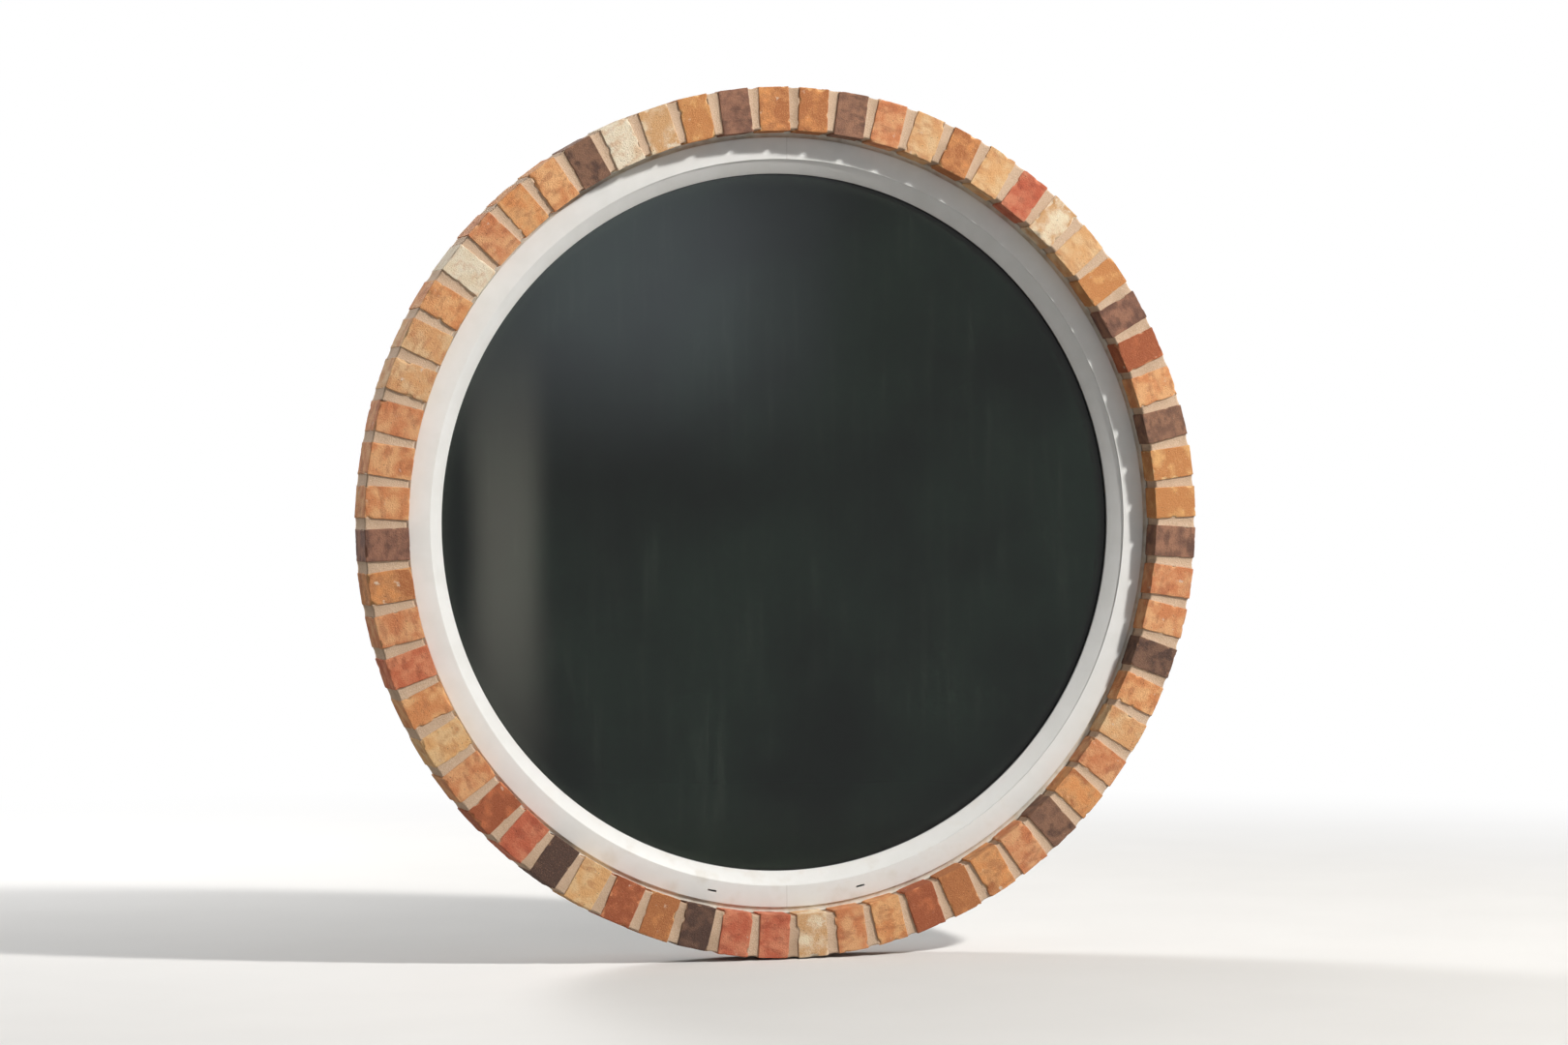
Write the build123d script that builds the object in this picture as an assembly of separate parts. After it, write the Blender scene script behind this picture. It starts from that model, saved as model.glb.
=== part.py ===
from build123d import *

import math
import os

# A fixed round window in a surround of brick ends, as it is built into a brick-faced wall.
# Millimetres. The window's axis is Y: the weather side faces -Y and the room is at +Y.
# The origin is on that axis, in the plane where the fixing straps lie on the wall's sheathing.

# Surround of brick ends, laid like spokes
brick_width = 63.5  # the brick's height when it is laid in a course
brick_height = 89.0  # the brick's bed depth, here its length along a spoke
brick_depth = 95.0  # half of a 190 mm brick, the cut end inwards
least_joint = 11.5  # mortar between two bricks at their inner ends
joint_recess = 3.5  # how far the mortar lies behind the brick faces
drain_space = 12.0  # between the bricks and the wall's sheathing

# White frame
frame_diameter = 1511.0
frame_depth = 83.0
reveal = 48.0  # from the front of the bricks back to the face of the frame
face_width = 43.0  # the flat outer band
frame_wall = 2.8
stop_depth = 27.0  # the inner stop that the glass unit is pressed against

# Fixing straps, bent out from the frame's rim onto the sheathing
strap_count = 8
strap_width = 32.0
strap_thickness = 1.5
strap_leg = 22.0  # along the rim
strap_reach = 46.0  # out from the rim
strap_hole_diameter = 6.4
strap_hole_inset = 14.0  # from the end of the strap to the middle of its hole

# Weep slots in the lower part of the face
weep_length = 18.0
weep_width = 3.5
weep_spread = 24.0  # degrees between the two slots

# Glazing bead, the sloping inner band
bead_width = 26.5
bead_setback = 2.0  # the step from the frame's face down to the bead
bead_lip = 3.0  # thickness of the bead at the glass
gasket_thickness = 4.0
gasket_width = 13.0
gasket_show = 1.0  # what stands in past the bead

# Sealed glass unit
pane_thickness = 5.0
pane_gap = 13.0
unit_clearance = 7.5  # from the edge of the glass to the frame
spacer_height = 8.0
edge_seal_height = 6.0
tape_thickness = 3.0
tape_inset = 2.0

# Blocks between the glass unit and the frame
setting_block_length = 100.0
setting_block_angle = 30.0  # degrees to each side of the bottom
location_block_length = 60.0
location_block_angle = 90.0  # degrees between the side blocks and the top one

# Joint between the frame and the bricks
sealant_width = 8.0
sealant_depth = 9.0
sealant_setback = 2.0
rod_depth = 10.0

# The bricks of each colour batch, by their place counted clockwise from the top. The rest are orange.
BATCH_PLACES = {
    "bricks_tan": (3, 5, 8, 9, 14, 15, 21, 37, 42, 51, 52, 61),
    "bricks_red": (6, 11, 28, 32, 33, 36, 39, 40, 44),
    "bricks_brown": (1, 10, 13, 16, 19, 24, 34, 38, 47, 58, 62),
    "bricks_cream": (7, 31, 54, 59, 60),
}

# Radii, from the frame outwards and then inwards
frame_radius = frame_diameter / 2
ring_inner = frame_radius + sealant_width
ring_outer = ring_inner + brick_height
strap_hole_radius = frame_radius + strap_reach - strap_hole_inset
pocket_radius = frame_radius - face_width
sight_radius = pocket_radius - bead_width
glass_radius = pocket_radius - unit_clearance

# Depths along the axis, from the sheathing outwards
ring_back = -drain_space
ring_front = ring_back - brick_depth
face_front = ring_front + reveal
frame_back = face_front + frame_depth
stop_front = frame_back - stop_depth
unit_back = stop_front - tape_thickness
inner_pane_front = unit_back - pane_thickness
outer_pane_back = inner_pane_front - pane_gap
glass_front = outer_pane_back - pane_thickness
gasket_front = glass_front - gasket_thickness

brick_count = round(2 * math.pi * ring_inner / (brick_width + least_joint))
brick_step = 360 / brick_count


def turned(*outline):
    """A ring turned about the window's axis from an outline of (radius, depth) points."""
    return revolve(make_face(Polyline(*outline, close=True)), Axis.Y)


def band(inner, outer, front, back):
    """A ring of plain rectangular section."""
    return turned((inner, front), (outer, front), (outer, back), (inner, back))


def at_clock(shape, clock_angle):
    """Moves a shape made above the axis round to an angle clockwise from the top, seen from outside."""
    return Rot(0, clock_angle, 0) * shape


def at_clock_from_right(shape, clock_angle):
    """The same for a shape made to the right of the axis, where its outline lies in the XY plane."""
    return at_clock(shape, clock_angle - 90)


def band_piece(inner, outer, front, back, length, clock_angle):
    """A short piece of such a ring, centred at an angle clockwise from the top."""
    sweep = math.degrees(length / inner)
    outline = [(inner, front), (outer, front), (outer, back), (inner, back)]
    piece = revolve(make_face(Polyline(*outline, close=True)), Axis.Y, sweep)
    return at_clock_from_right(piece, clock_angle - sweep / 2)


def brick():
    """One brick end above the axis."""
    middle = Pos(0, (ring_front + ring_back) / 2, (ring_inner + ring_outer) / 2)
    return middle * Box(brick_width, brick_depth, brick_height)


def mortar_joint():
    """The wedge of mortar clockwise of the top, between one brick and the next."""
    half_step = math.radians(brick_step / 2)
    half_width = brick_width / 2

    def side_point(radius):
        """On the flank of the brick half a step anticlockwise, at a height along its spoke."""
        return (
            half_width * math.cos(half_step) - radius * math.sin(half_step),
            half_width * math.sin(half_step) + radius * math.cos(half_step),
        )

    inner_x, inner_z = side_point(ring_inner + joint_recess)
    outer_x, outer_z = side_point(ring_outer - joint_recess)
    corners = [(inner_x, inner_z), (outer_x, outer_z), (-outer_x, outer_z), (-inner_x, inner_z)]
    wedge = make_face(Plane.XZ * Polyline(*corners, close=True))
    depth = brick_depth - joint_recess
    return Pos(0, ring_back, 0) * extrude(wedge, depth, dir=(0, -1, 0))


def brick_batches():
    """The bricks of the whole ring, each a solid of its own, sorted into their colour batches."""
    first = at_clock(brick(), brick_step / 2)
    batches = {"bricks_orange": [], **{batch: [] for batch in BATCH_PLACES}}
    for n in range(brick_count):
        named = [batch for batch, places in BATCH_PLACES.items() if n in places]
        batch = named[0] if named else "bricks_orange"
        batches[batch].append(at_clock(first, n * brick_step))
    return batches


def frame_outline(inset):
    """The frame's section with its glazing pocket and inner stop, or its hollow at the wall's inset."""
    return [
        (frame_radius - inset, face_front + inset),
        (pocket_radius + inset, face_front + inset),
        (pocket_radius + inset, stop_front + inset),
        (sight_radius + inset, stop_front + inset),
        (sight_radius + inset, frame_back - inset),
        (frame_radius - inset, frame_back - inset),
    ]


def weep_slots():
    """Two slots through the lower face, which let rain out of the chamber behind it."""
    slot = Box(weep_length, 3 * frame_wall, weep_width)
    slot = Pos(0, face_front, frame_radius - face_width / 2) * slot
    return [at_clock(slot, 180 + side * weep_spread / 2) for side in (-1, 1)]


def window_frame():
    """The hollow extrusion, bent to a circle and welded."""
    return turned(*frame_outline(0)) - turned(*frame_outline(frame_wall)) - weep_slots()


def fixing_strap():
    """One strap at the right of the frame: a leg along the rim and a foot on the sheathing."""
    leg_outer = frame_radius + strap_thickness
    foot_end = frame_radius + strap_reach
    outline = Polyline(
        (frame_radius, -strap_leg),
        (leg_outer, -strap_leg),
        (leg_outer, -strap_thickness),
        (foot_end, -strap_thickness),
        (foot_end, 0),
        (frame_radius, 0),
        close=True,
    )
    strap = extrude(make_face(outline), strap_width / 2, both=True)
    hole = Rot(90, 0, 0) * Cylinder(strap_hole_diameter / 2, 4 * strap_thickness)
    return strap - Pos(strap_hole_radius, 0, 0) * hole


def fixing_straps():
    """The straps, evenly spaced round the frame, none at its very top or bottom."""
    strap = fixing_strap()
    step = 360 / strap_count
    first = at_clock_from_right(strap, step / 2)
    return [at_clock(first, n * step) for n in range(strap_count)]


def glazing_bead():
    """The sloping band, from just behind the frame's face down to a thin lip at the glass."""
    return turned(
        (pocket_radius, face_front + bead_setback),
        (pocket_radius, gasket_front),
        (sight_radius, gasket_front),
        (sight_radius, gasket_front - bead_lip),
    )


def glass_unit():
    """Two panes with the foam spacer and the edge seal between them."""
    spacer_outer = glass_radius - edge_seal_height
    spacer_inner = spacer_outer - spacer_height
    pane = Rot(90, 0, 0) * Cylinder(glass_radius, pane_thickness)
    return {
        "outer_pane": Pos(0, glass_front + pane_thickness / 2, 0) * pane,
        "inner_pane": Pos(0, inner_pane_front + pane_thickness / 2, 0) * pane,
        "spacer": band(spacer_inner, spacer_outer, outer_pane_back, inner_pane_front),
        "edge_seal": band(spacer_outer, glass_radius, outer_pane_back, inner_pane_front),
    }


def unit_blocks(length, clock_angles):
    """Blocks in the clearance between the glass unit's edge and the frame."""
    return [
        band_piece(glass_radius, pocket_radius, glass_front, unit_back, length, angle)
        for angle in clock_angles
    ]


def perimeter_joint():
    """The sealant between frame and bricks, and the foam rod pressed in behind it."""
    sealant_front = face_front + sealant_setback
    rod_front = sealant_front + sealant_depth
    return {
        "perimeter_sealant": band(frame_radius, ring_inner, sealant_front, rod_front),
        "backer_rod": band(frame_radius, ring_inner, rod_front, rod_front + rod_depth),
    }


def all_pieces():
    gasket_inner = sight_radius - gasket_show
    tape_inner = sight_radius + tape_inset
    tape_outer = glass_radius - tape_inset
    joints = [at_clock(mortar_joint(), n * brick_step) for n in range(brick_count)]
    bottom = [180 - setting_block_angle, 180 + setting_block_angle]
    sides_and_top = [-location_block_angle, 0, location_block_angle]
    return {
        **brick_batches(),
        "mortar_joints": joints,
        **perimeter_joint(),
        "window_frame": window_frame(),
        "fixing_straps": fixing_straps(),
        "glazing_bead": glazing_bead(),
        "bead_gasket": band(gasket_inner, gasket_inner + gasket_width, gasket_front, glass_front),
        **glass_unit(),
        "glazing_tape": band(tape_inner, tape_outer, unit_back, stop_front),
        "setting_blocks": unit_blocks(setting_block_length, bottom),
        "location_blocks": unit_blocks(location_block_length, sides_and_top),
    }


os.makedirs("parts", exist_ok=True)
for name, piece in all_pieces().items():
    shape = Compound(piece) if isinstance(piece, list) else piece
    export_step(shape, f"parts/{name}.step")
    print(name, "solids", len(shape.solids()), "volume", round(shape.volume))
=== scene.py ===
# %% [markdown]
# # An oculus window in its ring of bricks
# The real thing is a fixed round window: a white vinyl frame bent to a circle, a sloping glazing
# bead, dark glass, and a ring of brick ends laid round it like spokes. The construction is modelled
# elsewhere, at its real size. This script dresses it: it lights it, gives every surface its finish,
# and swaps the sharp construction solids for worn bricks, sandy mortar and softly rounded mouldings.
# Every length below is in metres, in the same frame as the construction.

# %% Load the construction
import itertools
import math
import random

import bmesh
import bpy
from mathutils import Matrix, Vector, noise


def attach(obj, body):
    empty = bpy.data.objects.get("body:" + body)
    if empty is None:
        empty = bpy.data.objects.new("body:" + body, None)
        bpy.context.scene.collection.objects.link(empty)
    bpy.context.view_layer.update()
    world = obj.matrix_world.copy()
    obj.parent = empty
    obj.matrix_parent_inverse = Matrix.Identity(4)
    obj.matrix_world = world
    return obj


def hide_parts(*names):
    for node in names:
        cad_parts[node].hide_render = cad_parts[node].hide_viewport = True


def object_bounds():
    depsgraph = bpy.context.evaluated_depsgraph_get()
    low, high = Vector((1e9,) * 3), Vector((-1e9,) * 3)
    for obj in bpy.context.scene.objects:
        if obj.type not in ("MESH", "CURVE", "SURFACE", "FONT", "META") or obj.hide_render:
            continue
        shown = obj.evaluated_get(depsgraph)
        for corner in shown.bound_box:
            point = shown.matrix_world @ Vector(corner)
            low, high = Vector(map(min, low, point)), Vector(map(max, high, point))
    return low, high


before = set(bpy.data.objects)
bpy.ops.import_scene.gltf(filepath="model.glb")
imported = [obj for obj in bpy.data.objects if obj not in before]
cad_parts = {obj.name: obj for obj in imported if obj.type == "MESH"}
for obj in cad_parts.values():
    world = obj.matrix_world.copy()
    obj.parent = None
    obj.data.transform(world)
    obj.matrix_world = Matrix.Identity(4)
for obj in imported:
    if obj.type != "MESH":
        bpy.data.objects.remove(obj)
cad_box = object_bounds()
print("loaded", len(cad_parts), "pieces; box", [tuple(round(c, 4) for c in p) for p in cad_box])

# %% [markdown]
# ## Reading the round pieces
# Nearly every piece is a ring about one axis, Y. So the places that this script needs are radii and
# depths. They could be typed in again, but a typed number goes stale when the construction changes.
# Instead they are measured on the loaded meshes. Angles are counted clockwise from the top, as on a
# clock face seen from outside.

# %% Measure a ring
MM = 0.001


def clock_point(across, depth, outward, clock):
    """Turns a point given above the axis round to an angle clockwise from the top, in degrees."""
    turn = math.radians(clock)
    return Vector((
        across * math.cos(turn) + outward * math.sin(turn),
        depth,
        outward * math.cos(turn) - across * math.sin(turn),
    ))


def ring_of(node):
    """Inner radius, outer radius, front and back of a ring among the loaded pieces."""
    points = [vertex.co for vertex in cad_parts[node].data.vertices]
    radii = [math.hypot(point.x, point.z) for point in points]
    depths = [point.y for point in points]
    return min(radii), max(radii), min(depths), max(depths)


for ring in ("window_frame", "glazing_bead", "bead_gasket", "perimeter_sealant"):
    print(ring, [round(value / MM, 1) for value in ring_of(ring)])

# %% [markdown]
# ## The camera
# The photograph was taken from the left of the window and at its own height, so the circle looks a
# little narrower than it is tall and the right side of the deep reveal shows. A wide lens close by
# would bend those shapes. A long lens from further back keeps the proportions of a small object in
# the middle of a wide picture, which is what the photograph shows.

# %% Place the camera
VIEW_AZIMUTH = math.radians(-17.6)
VIEW_ELEVATION = math.radians(0.5)
LENS = 90.0
SENSOR_WIDTH = 36.0
PICTURE_SHAPE = 1080 / 1620
SHARE_OF_HEIGHT = 0.83


def direction(azimuth, elevation):
    """The unit vector from the window towards something at that azimuth and elevation, in radians."""
    flat = math.cos(elevation)
    return Vector((math.sin(azimuth) * flat, -math.cos(azimuth) * flat, math.sin(elevation)))


def aim(thing, azimuth, elevation, distance):
    """Puts a camera or lamp at a distance from the window's middle, looking at it."""
    away = direction(azimuth, elevation)
    thing.location = window_middle + away * distance
    thing.rotation_euler = (-away).to_track_quat("-Z", "Y").to_euler()
    bpy.context.scene.collection.objects.link(thing)


window_middle = (cad_box[0] + cad_box[1]) / 2
window_height = cad_box[1].z - cad_box[0].z
camera_data = bpy.data.cameras.new("camera")
camera_data.lens = LENS
camera_data.sensor_width = SENSOR_WIDTH
camera = bpy.data.objects.new("camera", camera_data)
view_height = window_height / SHARE_OF_HEIGHT
camera_distance = view_height * LENS / (SENSOR_WIDTH * PICTURE_SHAPE)
aim(camera, VIEW_AZIMUTH, VIEW_ELEVATION, camera_distance)
bpy.context.scene.camera = camera
bpy.context.scene.view_settings.view_transform = "Standard"
print("camera at", round(camera_distance, 2), "m")

# %% [markdown]
# ## Small helpers for finishes
# A finish is a tree of shader nodes. Wiring nodes by hand takes many lines, so a few short helpers
# do the common steps: add a node with its inputs, mottle a surface with noise, turn a value into a
# soft step, blend two colours, and raise a relief. Sizes are given in metres, so that a patch of
# 20 mm is written as 20 mm.

# %% Node helpers
SURFACE_SHADER = "Principled BSDF"


def add_node(tree, kind, inputs=None, **settings):
    """A new shader node. Each input is a plain value or another node's output."""
    made = tree.nodes.new("ShaderNode" + kind)
    for name, value in settings.items():
        setattr(made, name, value)
    for key, value in (inputs or {}).items():
        if isinstance(value, bpy.types.NodeSocket):
            tree.links.new(value, made.inputs[key])
        else:
            made.inputs[key].default_value = value
    return made


def paint(red, green, blue):
    """A colour given as it looks on screen, from 0 to 255, for a shader that counts light."""
    def light(value):
        value /= 255
        return value / 12.92 if value <= 0.04045 else ((value + 0.055) / 1.055) ** 2.4
    return (light(red), light(green), light(blue), 1.0)


def mottle(tree, where, patch, detail=3.0, stretch=(1.0, 1.0, 1.0)):
    """Cloudy noise from 0 to 1, with patches of that many metres, drawn out along some axes."""
    scaled = add_node(tree, "VectorMath", {0: where, 1: stretch}, operation="MULTIPLY")
    clouds = {"Vector": scaled.outputs[0], "Scale": 1 / patch, "Detail": detail}
    return add_node(tree, "TexNoise", clouds).outputs["Fac"]


def soft_step(tree, value, start, end, low=0.0, high=1.0):
    """Rises smoothly from low to high while the value goes from start to end."""
    limits = {"Value": value, "From Min": start, "From Max": end, "To Min": low, "To Max": high}
    return add_node(tree, "MapRange", limits, interpolation_type="SMOOTHSTEP").outputs["Result"]


def both(tree, first, second, operation="MULTIPLY"):
    """Two values in one, multiplied unless another operation is asked for."""
    return add_node(tree, "Math", {0: first, 1: second}, operation=operation).outputs[0]


def blended(tree, share, under, over):
    """The over colour laid on the under colour with that share."""
    colours = {0: share, 6: under, 7: over}
    return add_node(tree, "Mix", colours, data_type="RGBA").outputs[2]


def relief(tree, height, depth, beneath=None):
    """Bumps as deep as that many metres where the height goes from 0 to 1."""
    inputs = {"Height": height, "Distance": depth, "Strength": 1.0}
    if beneath is not None:
        inputs["Normal"] = beneath
    return add_node(tree, "Bump", inputs).outputs["Normal"]


def new_finish(name, **constants):
    """A material and its tree, with plain values set by name on its surface shader."""
    material = bpy.data.materials.new(name)
    material.use_nodes = True
    for key, value in constants.items():
        material.node_tree.nodes[SURFACE_SHADER].inputs[key.replace("_", " ")].default_value = value
    return material, material.node_tree


def dressed(material, colour, roughness, normal):
    """The material with its colour, roughness and relief joined to its surface shader."""
    tree = material.node_tree
    for name, socket in (("Base Color", colour), ("Roughness", roughness), ("Normal", normal)):
        tree.links.new(socket, tree.nodes[SURFACE_SHADER].inputs[name])
    return material


def place_in_window(tree):
    """The place on the window in metres, as painted materials see it."""
    return add_node(tree, "TexCoord").outputs["Object"]


def distance_along(tree, where, axes):
    """How far that place is from the middle in metres, counting only the axes set to one."""
    flat = add_node(tree, "VectorMath", {0: where, 1: axes}, operation="MULTIPLY").outputs[0]
    return add_node(tree, "VectorMath", {0: flat}, operation="LENGTH").outputs["Value"]


print("helpers ready")

# %% [markdown]
# ## Floor and background
# A product picture is usually taken on a pale sweep that runs up into white. A curved wall would
# hide the window from behind, so the floor is one flat sheet instead. Close to the window it is a
# real diffuse surface and takes the shadow. Further away it turns into plain white, like the sky
# behind it, so no horizon shows. The white is only what the camera, mirrors and glass see. On the
# surfaces themselves the sky shines at a plain, lower level, and the floor throws back as much as a
# grey one, because a wide white floor would light the window from below and fill its shadows.

# %% Make the sky and the floor
SKY_LIGHT = 0.2
FLOOR_HALF = 40.0
FLOOR_FADE_START = 1.6
FLOOR_FADE_END = 4.5
FLOOR_SEEN = (paint(226, 225, 223), paint(232, 231, 229))
FLOOR_BOUNCE = paint(160, 159, 157)
FLOOR_PATCH = 0.3
LEVEL_AXES = (1.0, 1.0, 0.0)


def seen_directly(tree):
    """One for rays from the camera, from mirrors and through glass, nought for scattered light."""
    path = add_node(tree, "LightPath")
    mirrored = both(tree, path.outputs["Is Glossy Ray"], path.outputs["Is Transmission Ray"], "MAXIMUM")
    return both(tree, path.outputs["Is Camera Ray"], mirrored, "MAXIMUM")


def make_sky():
    world = bpy.data.worlds.new("sky")
    bpy.context.scene.world = world
    world.use_nodes = True
    tree = world.node_tree
    strength = soft_step(tree, seen_directly(tree), 0.0, 1.0, SKY_LIGHT, 1.0)
    tree.links.new(strength, tree.nodes["Background"].inputs["Strength"])
    tree.nodes["Background"].inputs["Color"].default_value = (1.0, 1.0, 1.0, 1.0)


def pale_floor_finish():
    material, tree = new_finish("pale_floor", Roughness=0.9, Specular_IOR_Level=0.1)
    surface = tree.nodes[SURFACE_SHADER]
    where = place_in_window(tree)
    distance = distance_along(tree, where, LEVEL_AXES)
    seen = seen_directly(tree)
    pale = blended(tree, mottle(tree, where, FLOOR_PATCH), *FLOOR_SEEN)
    tree.links.new(blended(tree, seen, FLOOR_BOUNCE, pale), surface.inputs["Base Color"])
    white = add_node(tree, "Emission", {"Strength": 1.0})
    share = both(tree, soft_step(tree, distance, FLOOR_FADE_START, FLOOR_FADE_END), seen)
    mixed = add_node(tree, "MixShader", {0: share, 1: surface.outputs[0], 2: white.outputs[0]})
    tree.links.new(mixed.outputs[0], tree.nodes["Material Output"].inputs["Surface"])
    return material


def make_floor():
    mesh = bpy.data.meshes.new("floor")
    height = cad_box[0].z
    corners = [(x * FLOOR_HALF, y * FLOOR_HALF, height) for x, y in ((-1, -1), (1, -1), (1, 1), (-1, 1))]
    mesh.from_pydata(corners, [], [(0, 1, 2, 3)])
    mesh.materials.append(pale_floor_finish())
    floor = bpy.data.objects.new("floor", mesh)
    bpy.context.scene.collection.objects.link(floor)


make_sky()
make_floor()
print("floor at", round(cad_box[0].z, 4), "sky light", SKY_LIGHT)

# %% [markdown]
# ## Lamps
# In the photograph the light falls from high on the right, so the ring throws its shadow on the
# upper right of the white frame, deep in the reveal. Bare light would be harsh in a studio. One soft
# lamp in the same direction keeps that shadow and softens its edge. It stands far off, so that the
# top and the bottom of the ring are lit nearly alike. A weaker lamp behind the window lights its
# room side. The brightness is worked out from the pale frame: its bead leans towards the key lamp
# and takes the most light, and must not burn out, so a surface that faces front gets a little less
# light than would show it as it is painted. The shine of each lamp fades towards its edges, as the
# cloth of a real softbox does, so that glass mirrors a glow and not a hard panel.

# %% Make the lamps
KEY_AZIMUTH = math.radians(44)
KEY_ELEVATION = math.radians(38)
KEY_DISTANCE = 9.0
KEY_SIZE = (1.08, 1.08)
KEY_COLOUR = (1.0, 0.975, 0.94)
FRONT_LIGHT = 0.8
LAMP_DISTANCE = 5.0
BACK_AZIMUTH = math.radians(205)
BACK_ELEVATION = math.radians(30)
BACK_SIZE = (2.5, 2.5)
BACK_SHARE = 0.65
BACK_COLOUR = (1.0, 1.0, 1.0)
LAMP_FEATHER = 0.45
FRONT = Vector((0, -1, 0))


def feather_lamp(tree):
    """Fades the lamp's shine from its middle to its edges. What it gives in all stays."""
    place = add_node(tree, "SeparateXYZ", {0: add_node(tree, "NewGeometry").outputs["Parametric"]})
    shine = 1 / (1 - LAMP_FEATHER) ** 2
    for axis in ("X", "Y"):
        from_edge = both(tree, place.outputs[axis], 0.5, "PINGPONG")
        shine = both(tree, soft_step(tree, from_edge, 0.0, LAMP_FEATHER), shine)
    tree.links.new(shine, tree.nodes["Emission"].inputs["Strength"])


def soft_lamp(name, azimuth, elevation, size, share, colour, distance=LAMP_DISTANCE):
    """A softbox that gives a surface turned towards it that share of its painted brightness."""
    data = bpy.data.lights.new(name, "AREA")
    data.shape = "RECTANGLE"
    data.size, data.size_y = size
    data.energy = share * (math.pi * distance) ** 2
    data.color = colour
    data.use_nodes = True
    feather_lamp(data.node_tree)
    aim(bpy.data.objects.new(name, data), azimuth, elevation, distance)


key_share = (FRONT_LIGHT - SKY_LIGHT) / direction(KEY_AZIMUTH, KEY_ELEVATION).dot(FRONT)
soft_lamp("key_lamp", KEY_AZIMUTH, KEY_ELEVATION, KEY_SIZE, key_share, KEY_COLOUR, KEY_DISTANCE)
soft_lamp("back_lamp", BACK_AZIMUTH, BACK_ELEVATION, BACK_SIZE, BACK_SHARE, BACK_COLOUR)
print("key lamp share", round(key_share, 3))

# %% [markdown]
# ## Something for the glass to mirror
# Dark glass only looks like glass when it mirrors something. What a window mirrors belongs to the
# place where it is built in, so this one needs something else. Pictures of bottles are lit with a
# narrow strip and a broad dim panel that stand where the glass mirrors them. Here they stand right
# of the camera, warm low down and cool above, and are so weak that they hardly light the window
# itself.

# %% Stand lamps in the mirror of the glass
STRIP_AZIMUTH = math.radians(7.5)
STRIP_ELEVATION = math.radians(-2)
STRIP_SIZE = (0.36, 1.8)
STRIP_SHARE = 0.008
STRIP_COLOUR = (1.0, 0.95, 0.8)
PANEL_AZIMUTH = math.radians(12)
PANEL_ELEVATION = math.radians(9)
PANEL_SIZE = (1.7, 1.5)
PANEL_SHARE = 0.022
PANEL_COLOUR = (0.8, 0.9, 1.0)

soft_lamp("strip_lamp", STRIP_AZIMUTH, STRIP_ELEVATION, STRIP_SIZE, STRIP_SHARE, STRIP_COLOUR)
soft_lamp("cool_panel", PANEL_AZIMUTH, PANEL_ELEVATION, PANEL_SIZE, PANEL_SHARE, PANEL_COLOUR)
print("mirror lamps give", STRIP_SHARE + PANEL_SHARE, "of the light")

# %% [markdown]
# ## Reading the ring of bricks
# The ring holds half bricks with their cut ends inwards. They are sorted into colour batches, as a
# real ring is laid from mixed pallets. To put a worn brick where each sharp one is, the script needs
# the number of bricks round the ring, the size of one brick, and the places that each batch fills.
# All three come from the corner points: a brick has eight, and a place is one step round the clock.

# %% Find the bricks and the joints
BATCHES = ("bricks_orange", "bricks_tan", "bricks_red", "bricks_brown", "bricks_cream")
BRICK_CORNERS = 8


def corner_points(node):
    """The separate corner points of a node's plain solids, to a hundredth of a millimetre."""
    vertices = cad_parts[node].data.vertices
    return {tuple(round(value, 5) for value in vertex.co) for vertex in vertices}


def place_of(point):
    """The place round the ring that a point lies in, counted clockwise from the top."""
    return int(math.degrees(math.atan2(point[0], point[2])) % 360 // brick_step)


def turned_to_top(node, clock):
    """The corners of the solid at that clock angle, turned back to stand above the axis."""
    turned = [clock_point(*point, -clock) for point in corner_points(node)]
    reach = math.tan(math.radians(brick_step / 2))
    return [point for point in turned if point.z > 0 and abs(point.x) < reach * point.z]


brick_count = sum(len(corner_points(batch)) for batch in BATCHES) // BRICK_CORNERS
brick_step = 360 / brick_count
batch_places = {batch: sorted({place_of(point) for point in corner_points(batch)}) for batch in BATCHES}
first_place = batch_places[BATCHES[0]][0]
brick_corners = turned_to_top(BATCHES[0], (first_place + 0.5) * brick_step)
brick_low = Vector([min(point[axis] for point in brick_corners) for axis in range(3)])
brick_high = Vector([max(point[axis] for point in brick_corners) for axis in range(3)])
brick_size = brick_high - brick_low
print(brick_count, "bricks of", [round(side / MM, 1) for side in brick_size])
print({batch: len(places) for batch, places in batch_places.items()})

# %% [markdown]
# ## The skin of a block
# Bricks and mortar wedges all start as the same thing: a six-sided skin of small squares, fine
# enough to be roughened by moving its points. A subdivided cube would give even squares. Here the
# lines are drawn closer together near the edges, because that is where a brick is rounded and
# chipped, and where the eye looks. The skin is worked out once, and every brick reuses it.

# %% Make a block's grid
def block_skin(counts):
    """Steps along X, Y and Z of each point on a block's skin, and the four points of each square."""
    spans = [range(count + 1) for count in counts]
    steps = [s for s in itertools.product(*spans) if any(s[a] in (0, counts[a]) for a in range(3))]
    number = {step: index for index, step in enumerate(steps)}
    squares = []
    for axis in range(3):
        across, along = [other for other in range(3) if other != axis]
        for side in (0, counts[axis]):
            outward = (side == 0) == (axis == 1)
            for start in itertools.product(range(counts[across]), range(counts[along])):
                loop = []
                for move in ((0, 0), (1, 0), (1, 1), (0, 1)):
                    corner = [side] * 3
                    corner[across] = start[0] + move[0]
                    corner[along] = start[1] + move[1]
                    loop.append(number[tuple(corner)])
                squares.append(loop if outward else loop[::-1])
    return steps, squares


def edge_fine_lines(length, spacing, edge_lines):
    """Places from minus to plus half a length: a few given distances from each end, then even."""
    half = length / 2
    inner = half - edge_lines[-1]
    even = max(1, round(2 * inner / spacing))
    left = [distance - half for distance in (0, *edge_lines[:-1])]
    middle = [-inner + 2 * inner * n / even for n in range(even + 1)]
    return left + middle + [-place for place in reversed(left)]


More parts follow.
